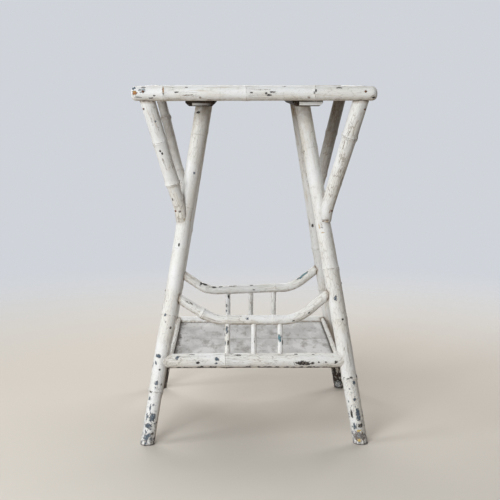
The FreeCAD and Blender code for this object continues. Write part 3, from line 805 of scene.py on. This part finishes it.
# Bent gallery rails on spindles, in the leaning plane of two legs
gallery = {
    "level": 0.208, "zone": 0.03, "skin": 0.00825, "railSkin": 0.012, "tenon": 0.005, "spindleGap": 0.045,
    "sides": 28, "ends": (0.0005, 0.0005),
    "look": {"wear": 0.01, "underDirt": 0.95, "nook": 0.9},
    "front": {
        "knots": [(-139.4, 44), (-120, 31.7), (-70, 0), (-30, 0), (30, 0), (75.5, 0), (125, 41.7),
                  (138.2, 53)],  # across and up the leaning plane, in mm
        "girth": [(0, 0.0158), (0.18, 0.0162), (0.205, 0.0174), (0.27, 0.0166), (0.5, 0.0164),
                  (0.8, 0.0166), (1, 0.0160)],
        "rings": [(0.062, 0.9), (0.1075, 0.4), (0.185, 0.4)], "seed": 15,
        "spots": {
            "slate": [(140, -30, 2.7, 2.4)],
            "black": [(246, 15, 1.5, 1.4), (218, 15, 2, 1.2), (29, -30, 4, 1)],
            "grey": [(36, -40, 3.4, 1)],
        },
    },
    "rear": {
        "knots": [(-140, 36), (-125, 25), (-87, -2.5), (-45, -1.8), (45, 2), (82, 3), (122, 36),
                  (138.6, 50)],
        "girth": [(0, 0.0160), (0.2, 0.0166), (0.5, 0.0162), (0.8, 0.0168), (1, 0.0164)],
        "rings": [(0.062, 0.7), (0.2, 0.6)], "seed": 16,
        "spots": {
            "teal": [(263, -60, 13, 3)],
            "black": [(56, -55, 6.5, 3), (78, -50, 5, 2), (91, -60, 4, 1.6), (49, -45, 2.4, 4),
                      (152, -70, 3, 1.2), (157, 5, 2, 1.2)],
            "grey": [(115, -70, 6.5, 1.6)],
        },
    },
    "spindle": {"girth": [(0, 0.0096), (0.5, 0.0092), (1, 0.0095)], "rings": [], "ends": (0.0004, 0.0004),
                "sides": 20, "rugged": 1.8, "seed": 17, "look": {"wear": 0.03}},
    "spindleSpots": {
        "frontLeft": {"slate": [(46, -15, 5.5, 2.4), (23, -50, 4, 1.7)],
                      "black": [(38, -65, 3, 1.5), (24, 15, 4, 1.4)]},
        "frontMiddle": {"black": [(26, 15, 2.4, 1)]},
        "frontRight": {"teal": [(32, -20, 7, 3)], "black": [(24, 55, 4, 1.4)]},
        "rearLeft": {"grey": [(29, -50, 4, 2.8)], "black": [(49, 15, 4.7, 1.8)],
                     "slate": [(18, -60, 3, 2.4)]},
    },
}
leanRate = (legs["foot"] - legs["top"]) / legs["height"]
leanStretch = math.hypot(1, leanRate)
galleryRuns = {}
for end, sy in frontRear:
    knots = []
    for across, rise in gallery[end]["knots"]:
        z = gallery["level"] + rise * mm / leanStretch
        knots.append((across * mm, sy * legHalf(z), z))
    galleryRuns[end] = bentRun(knots)


def pointOver(run, x):  # the run's point at this distance across
    low, high = 0.0, run["length"]
    for halving in range(24):
        middle = (low + high) / 2
        if run["at"](middle)[0].x < x:
            low = middle
        else:
            high = middle
    return run["at"](middle)[0]


for end, sy in frontRear:
    run = galleryRuns[end]
    tips = [run["at"](s)[0] for s in (0, run["length"])]
    shape = shapeOf(gallery, end)
    shape["stops"] = [stopAt(gallery["zone"], meetLeg(sx, sy, tip.z)) for sx, tip in zip((-1, 1), tips)]
    addCane(end + "Gallery", run, shape, ["gallery_rail_" + end])
    for index, place in enumerate(("Left", "Middle", "Right")):
        x = (index - 1) * gallery["spindleGap"]
        foot = Vector((x, sy * railOut, rails["height"]))
        head = pointOver(run, x)
        way = (head - foot).normalized()
        low = foot + way * (gallery["railSkin"] - gallery["tenon"])
        high = head - way * (gallery["skin"] - gallery["tenon"])
        shape = {**gallery["spindle"], "spots": gallery["spindleSpots"].get(end + place, ())}
        shape["seed"] += index + (3 if sy > 0 else 0)
        nodes = [f"spindle_{end}_{place.lower()}"]
        addCane(end + place + "Spindle", straightRun(low, high), shape, nodes)
print("galleries made")


# Thin beads along the shelf's ends
beads = {
    "out": 0.1421, "height": 0.14545, "zone": 0.03, "railSkin": 0.0122,
    "shape": {
        "girth": [(0, 0.0075), (0.5, 0.0072), (1, 0.0075)], "rings": [(0.09, 0.4), (0.21, 0.4)],
        "ends": (0.0004, 0.0004), "sides": 20, "seed": 24,
        "look": {"yellow": 0.9, "stain": 0.7, "dull": 0.3, "nook": 0.9, "underDirt": 0.9, "wear": 0.02},
    },
}
for index, (side, sx) in enumerate(leftRight):
    first, last = (Vector((sx * beads["out"], sy * railOut, beads["height"])) for sy in (-1, 1))
    shape = {**beads["shape"], "stops": []}
    shape["seed"] += index
    for sy in (-1, 1):
        rail = meetCane(Vector((0, sy * railOut, rails["height"])), alongX, beads["railSkin"])
        shape["stops"].append(stopAt(beads["zone"], rail, meetLeg(sx, sy, beads["height"])))
    addCane(side + "Bead", straightRun(first, last), shape, ["shelf_bead_" + side])
print("beads made")


# Boards: a block with loops near its edges, eased and worn
boardForm = {"loops": [0.002, 0.0045, 0.008, 0.013], "spacing": 0.014, "margin": 0.016, "edge": 0.0015,
             "rubScale": 55, "rubMore": 0.1, "warpScale": (9, 22)}


def easeEdges(bm, offset):
    bmesh.ops.bevel(bm, geom=bm.edges[:], offset=offset, offset_type="OFFSET", segments=3, profile=0.5,
                    affect="EDGES", material=-1)


def cutThrough(bm, point, normal):
    whole = bm.verts[:] + bm.edges[:] + bm.faces[:]
    bmesh.ops.bisect_plane(bm, geom=whole, plane_co=point, plane_no=normal)


def cutBoard(low, high, shape):
    bm, grainLayer = newForm()
    bmesh.ops.create_cube(bm, size=1)
    size = Vector(high) - Vector(low)
    middle = (Vector(high) + Vector(low)) / 2
    bmesh.ops.scale(bm, vec=size, verts=bm.verts)
    bmesh.ops.translate(bm, vec=middle, verts=bm.verts)
    easeEdges(bm, shape["ease"])
    for span, normal in ((size.x, alongX), (size.y, alongY)):
        steps = max(2, round(span / boardForm["spacing"]))
        marks = boardForm["loops"] + [span - i for i in boardForm["loops"]]
        even = [i * span / steps for i in range(1, steps)]
        marks += [m for m in even if boardForm["margin"] < m < span - boardForm["margin"]]
        for m in marks:
            cutThrough(bm, Vector(low) + normal * m, normal)
    bmesh.ops.recalc_face_normals(bm, faces=bm.faces[:])
    seed = seedShift(shape["seed"])
    wide, deep = boardForm["warpScale"]
    for v in bm.verts:
        x, y, z = v.co
        v[grainLayer] = Vector((y, z, x)) + seed
        inner = v.co - middle
        for axis in range(3):  # edges wander a little
            if size[axis] / 2 - abs(inner[axis]) < boardForm["edge"]:
                rub = max(0, noise.noise(v.co * boardForm["rubScale"] + seed) + boardForm["rubMore"])
                v.co[axis] -= math.copysign(rub * shape["rub"], inner[axis])
        v.co.z += noise.noise(Vector((x * wide, y * deep, 0)) + seed) * shape["warp"]
    return bm


boardLook = {**caneLook, "yellow": 0.4, "stain": 0.25, "underDirt": 0.45, "craze": 0.3, "split": 0.35,
             "footWear": 0.0}
boardPaint = oldPaint("whiteBoard", boardLook)

# Top boards inside the rim
topBoards = {"halfX": 0.1677, "halfY": 0.1757, "low": 0.591, "face": 0.602, "seam": 0.0006,
             "ease": 0.0009, "rub": 0.0003, "warp": 0.0002, "seed": 30,
             "places": ("front", "middle", "rear")}
pitch = (2 * topBoards["halfY"] + topBoards["seam"]) / len(topBoards["places"])
for index, place in enumerate(topBoards["places"]):
    near = -topBoards["halfY"] + index * pitch
    low = (-topBoards["halfX"], near, topBoards["low"])
    high = (topBoards["halfX"], near + pitch - topBoards["seam"], topBoards["face"])
    bm = cutBoard(low, high, {**topBoards, "seed": topBoards["seed"] + index})
    addPiece(place + "TopBoard", bm, boardPaint, ["top_board_" + place])

# Battens under the boards, chamfered below; their front ends and inner sides painted near black as shadow
# under the rim, with some dirt
battens = {
    "out": 0.088, "half": 0.025, "lowHalf": 0.019, "low": 0.571, "shoulder": 0.5765, "high": 0.591,
    "reach": 0.1757, "ease": 0.0009, "rub": 0.0002, "inner": 0.0705,
    "endCuts": (-0.1735, -0.170, -0.164, 0.164, 0.170, 0.1735), "firstCut": -0.155, "cutGap": 0.01,
    "cuts": 32, "sharp": 0.0004, "sootShadeFrom": -0.171, "rubScale": 40, "seed": 33,
    "left": {"clean": ((-0.1015, 0.5722), (-0.0695, 0.5764)),
             "look": {"sootShade": 1.0, "stain": 1.0, "yellow": 1.0, "dull": 0.4, "gloss": 0.04}},
    "right": {"clean": ((0.0740, 0.5726), (0.1124, 0.5784)),
              "look": {"sootShade": 1.0, "stain": 0, "yellow": 0.1, "grit": 0.2, "nook": 0.1, "gloss": 0.04}},
}
b = battens
section = [(-b["half"], b["high"]), (-b["half"], b["shoulder"]), (-b["lowHalf"], b["low"]),
           (b["lowHalf"], b["low"]), (b["half"], b["shoulder"]), (b["half"], b["high"])]
for index, (side, sx) in enumerate(leftRight):
    bm, grainLayer = newForm()
    sootShadeLayer = bm.verts.layers.float.new("sootShade")
    (cleanLeft, cleanLow), (cleanRight, cleanHigh) = b[side]["clean"]
    face = bm.faces.new([bm.verts.new((sx * b["out"] + x, -b["reach"], z)) for x, z in section])
    pushed = bmesh.ops.extrude_face_region(bm, geom=[face])["geom"]
    moved = [g for g in pushed if isinstance(g, bmesh.types.BMVert)]
    bmesh.ops.translate(bm, vec=(0, 2 * b["reach"], 0), verts=moved)
    bmesh.ops.recalc_face_normals(bm, faces=bm.faces[:])
    easeEdges(bm, b["ease"])
    cuts = [((0, m, 0), alongY) for m in b["endCuts"]]
    cuts += [((0, b["firstCut"] + i * b["cutGap"], 0), alongY) for i in range(b["cuts"])]
    for m in (-b["sharp"], b["sharp"]):  # close cuts keep the edge of the painted shadow and dirt sharp
        cuts += [((0, 0, z + m), upward) for z in (cleanLow, cleanHigh)]
        cuts += [((x + m, 0, 0), alongX) for x in (cleanLeft, cleanRight)]
    for point, normal in cuts:
        cutThrough(bm, point, normal)
    for v in bm.verts:
        v[grainLayer] = Vector((v.co.x, v.co.z, v.co.y)) + seedShift(b["seed"] + index)
        clean = cleanLeft < v.co.x < cleanRight and cleanLow < v.co.z < cleanHigh
        v[sootShadeLayer] = float((v.co.y < b["sootShadeFrom"] and not clean) or abs(v.co.x) < b["inner"])
        rubbed = v.co * b["rubScale"]
        v.co += Vector((noise.noise(rubbed), 0, noise.noise(rubbed + Vector((3, 3, 3))))) * b["rub"]
    finish = oldPaint(side + "BattenPaint", {**boardLook, **b[side]["look"]})
    addPiece(side + "Batten", bm, finish, ["batten_" + side])
print("top boards and battens made")

# Shelf: two boards with a thin seam
shelf = {"half": 0.1464, "reach": 0.1461, "low": 0.1325, "face": 0.1415, "seam": 0.0006,
         "ease": 0.0008, "rub": 0.0005, "warp": 0.0005, "seed": 36}
shelfWood = weatheredBoard("weatheredShelf")
for index, (end, sy) in enumerate(frontRear):
    near, far = sorted((sy * shelf["reach"], sy * shelf["seam"] / 2))
    low = (-shelf["half"], near, shelf["low"])
    high = (shelf["half"], far, shelf["face"])
    bm = cutBoard(low, high, {**shelf, "seed": shelf["seed"] + index})
    addPiece(end + "ShelfBoard", bm, shelfWood, ["shelf_board_" + end])
print("shelf boards made")


# Nail heads, set on the skin that they are driven into
nails = {
    "radius": 0.0022, "dome": 0.0006, "deep": 0.0012, "sides": 14,
    "head": [(0, 1), (0.5, 0.9), (0.85, 0.55), (1, 0.1)],  # shares of the radius and the dome
    "back": 0.03,  # driven from this far off
    "poleFace": 0.2, "rimAcross": 0.18, "rimHeight": 0.595, "battenHeight": 0.586,
    "braceOff": 0.012, "topDrop": 0.009, "topTarget": (0.18, 0.168, 0.5885), "footRise": 0.016,
    "galleryOff": 0.014,
}


def driveNails(name, node, places, finish):
    bm = newForm()[0]
    r, dome, deep = nails["radius"], nails["dome"], nails["deep"]
    outline = [(r * a, dome * b) for a, b in nails["head"]] + [(r, -deep), (0, -deep)]
    for surface, point, way in places:
        hit = surfaces[surface].ray_cast(point - way * nails["back"], way)[0]
        single = bmesh.new()
        spinOutline(single, outline, nails["sides"])
        turn = (-way).to_track_quat("Z", "Y").to_matrix().to_4x4()
        bmesh.ops.transform(single, matrix=Matrix.Translation(hit) @ turn, verts=single.verts)
        whole = bpy.data.meshes.new("nail")
        single.to_mesh(whole)
        single.free()
        bm.from_mesh(whole)
        bpy.data.meshes.remove(whole)
    addPiece(name, bm, finish, [node])


nailRust = rustyNail("rustyNail")
driven = {kind: [] for kind in ("rim", "batten", "braceTop", "braceFoot", "gallery")}
for corner, sx, sy in corners:
    end = "front" if sy < 0 else "rear"
    inward = Vector((0, -sy, 0))
    face = sy * nails["poleFace"]
    rimPlace = Vector((sx * nails["rimAcross"], face, nails["rimHeight"]))
    battenPlace = Vector((sx * battens["out"], face, nails["battenHeight"]))
    driven["rim"].append((end + "Pole", rimPlace, inward))
    driven["batten"].append((end + "Pole", battenPlace, inward))
    low, high = braceEnds(sx, sy)
    way = (high - low).normalized()
    out = Vector((sx, sy, 0)).normalized()
    skin = aside(out, way).normalized()
    top = low + way * ((braces["topHeight"] - nails["topDrop"] - low.z) / way.z) + skin * nails["braceOff"]
    across, depth, level = nails["topTarget"]
    target = Vector((sx * across, sy * depth, level))
    driven["braceTop"].append((corner + "Brace", top, (target - top).normalized()))
    foot = low + way * (nails["footRise"] / way.z) + out * nails["braceOff"]
    driven["braceFoot"].append((corner + "Brace", foot, -out))
    run = galleryRuns[end]
    tip, along = run["at"](0 if sx < 0 else run["length"])
    inwardRail = along if sx < 0 else -along
    driven["gallery"].append((corner + "Leg", tip - inwardRail * nails["galleryOff"], inwardRail))
for kind, places in driven.items():  # braceTop becomes brace_top_nails
    node = kind.replace("brace", "brace_").lower() + "_nails"
    driveNails(kind + "Nails", node, places, plainCane if kind == "batten" else nailRust)
print("nails driven")

# CAD pieces that keep their shape
kept = [
    (bareWood("bareWood"), ("leg_pegs", "foot_plugs", "side_pole_plugs", "rail_dowels", "shelf_cleat_front",
                            "shelf_cleat_rear")),
    (nailRust, ("batten_screws", "bead_brads", "shelf_nails", "cleat_nails")),
]
for finish, nodes in kept:
    for node in nodes:
        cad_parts[node].data.materials.clear()
        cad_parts[node].data.materials.append(finish)


# How near each point lies to another piece: dirt and painted shade gather there
nookReach = 0.007
paintFill = 0.0045  # thick paint keeps the dirt and painted shade this far from a joint
painted = [("Leg", "Brace"), ("Leg", "ShelfRail"), ("Gallery", "Spindle"), ("ShelfRail", "Spindle"),
           ("ShelfBoard", "ShelfBoard")]


def paintedOver(a, b):  # joints that thick paint has filled
    return any((a.endswith(p) and b.endswith(q)) or (a.endswith(q) and b.endswith(p)) for p, q in painted)


for name, piece in pieces.items():
    points = [v.co.copy() for v in piece.data.vertices]
    nearest = [nookReach] * len(points)
    low = Vector(map(min, *points)) - Vector((nookReach,) * 3)
    high = Vector(map(max, *points)) + Vector((nookReach,) * 3)
    for other, tree in surfaces.items():
        if other == name or "Nails" in other:
            continue
        box = [pieces[other].matrix_world @ Vector(c) for c in pieces[other].bound_box]
        otherLow, otherHigh = Vector(map(min, *box)), Vector(map(max, *box))
        if any(otherLow[i] > high[i] or otherHigh[i] < low[i] for i in range(3)):
            continue
        least = paintFill if paintedOver(name, other) else 0.0
        for index, point in enumerate(points):
            if all(otherLow[i] - nookReach < point[i] < otherHigh[i] + nookReach for i in range(3)):
                distance = tree.find_nearest(point, nearest[index])[3]
                if distance is not None:
                    nearest[index] = min(nearest[index], max(distance, least))
    layer = piece.data.attributes.new("nook", "FLOAT", "POINT")
    layer.data.foreach_set("value", [1 - d / nookReach for d in nearest])
print("nooks found")


# Plain stage: pale floor that fades into the backdrop, soft light from the left, camera
coolLight = (0.96, 0.985, 1.0)
warmLight = (1.0, 0.98, 0.96)
stage = {
    "floor": tone(216, 210, 201), "bounce": tone(178, 164, 146),  # bounce lights the table from below
    "radius": 6, "sides": 96, "shade": 0.96, "rough": 0.8, "gloss": 0.2,
    "backdrop": tone(208, 212, 218), "fadeFrom": 0.5, "fadeTo": 1.8,
    "fill": 0.08, "fillColour": (1.0, 0.91, 0.8, 1.0),
    "aim": (0, 0, 0.3),
    "lamps": {
        "front": {"at": (-0.93, -2.29, 1.05), "size": (0.9, 1.0), "power": 39, "colour": coolLight},
        "side": {"at": (-2.29, -0.93, 1.05), "size": (0.9, 1.0), "power": 22, "colour": coolLight},
        "high": {"at": (-0.7, -1.5, 2.3), "size": (1.6, 1.6), "power": 12, "colour": (0.98, 0.99, 1.0)},
        "back": {"at": (-0.5, 2.2, 1.8), "size": (2.0, 2.0), "power": 40, "colour": warmLight},
        "rear": {"at": (1.5, 1.8, 1.3), "size": (1.4, 1.4), "power": 24, "colour": warmLight},
    },
}


def lookedAt(start):  # rays that see a thing, not those that light it
    seen, glossy, through = (start.node("LightPath", out=f"Is {ray} Ray")
                             for ray in ("Camera", "Glossy", "Transmission"))
    return seen + glossy + through


bm = bmesh.new()
bmesh.ops.create_circle(bm, cap_ends=True, segments=stage["sides"], radius=stage["radius"])
floorMesh = bpy.data.meshes.new("floor")
bm.to_mesh(floorMesh)
bm.free()
floor = newObject("floor", floorMesh)
floorFinish, start, shader = newFinish("paleFloor")
place = start.node("TexCoord", out="Object")
mottle = place.cloud(3, 4)
seen = mottle.tint(stage["floor"], tuple(c * stage["shade"] for c in stage["floor"][:3]) + (1.0,))
lookedAt(start).tint(stage["bounce"], seen).feed(shader, "Base Color")
shader.inputs["Roughness"].default_value = stage["rough"]
shader.inputs["Specular IOR Level"].default_value = stage["gloss"]
fade = place.size().step(stage["fadeFrom"], stage["fadeTo"])
clear = start.node("BsdfTransparent")
shown = Wire(start.tree, shader.outputs[0])
faded = start.node("MixShader", {}, {0: fade, 1: shown, 2: clear})
faded.feed(start.tree.nodes["Material Output"], "Surface")
floorMesh.materials.append(floorFinish)

world = bpy.data.worlds.new("studio")
bpy.context.scene.world = world
world.use_nodes = True
world.node_tree.nodes.clear()
sky = Wire(world.node_tree)
lighting = sky.node("Background", {}, {"Color": stage["fillColour"], "Strength": stage["fill"]})
backdrop = sky.node("Background", {}, {"Color": stage["backdrop"], "Strength": 1.0})
mixed = sky.node("MixShader", {}, {0: lookedAt(sky), 1: lighting, 2: backdrop})
worldOut = world.node_tree.nodes.new("ShaderNodeOutputWorld")
mixed.feed(worldOut, "Surface")

for name, lamp in stage["lamps"].items():
    light = bpy.data.lights.new(name, "AREA")
    light.energy = lamp["power"]
    light.shape = "RECTANGLE"
    light.size, light.size_y = lamp["size"]
    light.color = lamp["colour"]
    placed = newObject(name, light)
    placed.location = lamp["at"]
    placed.rotation_euler = (Vector(stage["aim"]) - Vector(lamp["at"])).to_track_quat("-Z", "Y").to_euler()

view = {"at": (-0.03786, -2.05357, 0.60971), "down": 8.387, "right": 0.943, "lens": 81.86, "sensor": 36}
lens = bpy.data.cameras.new("camera")
lens.lens = view["lens"]
lens.sensor_width = view["sensor"]
camera = newObject("camera", lens)
camera.location = view["at"]
camera.rotation_euler = (math.radians(90 - view["down"]), 0, -math.radians(view["right"]))
bpy.context.scene.camera = camera
bpy.context.scene.view_settings.view_transform = "Standard"
print("stage set")

bpy.context.view_layer.update()
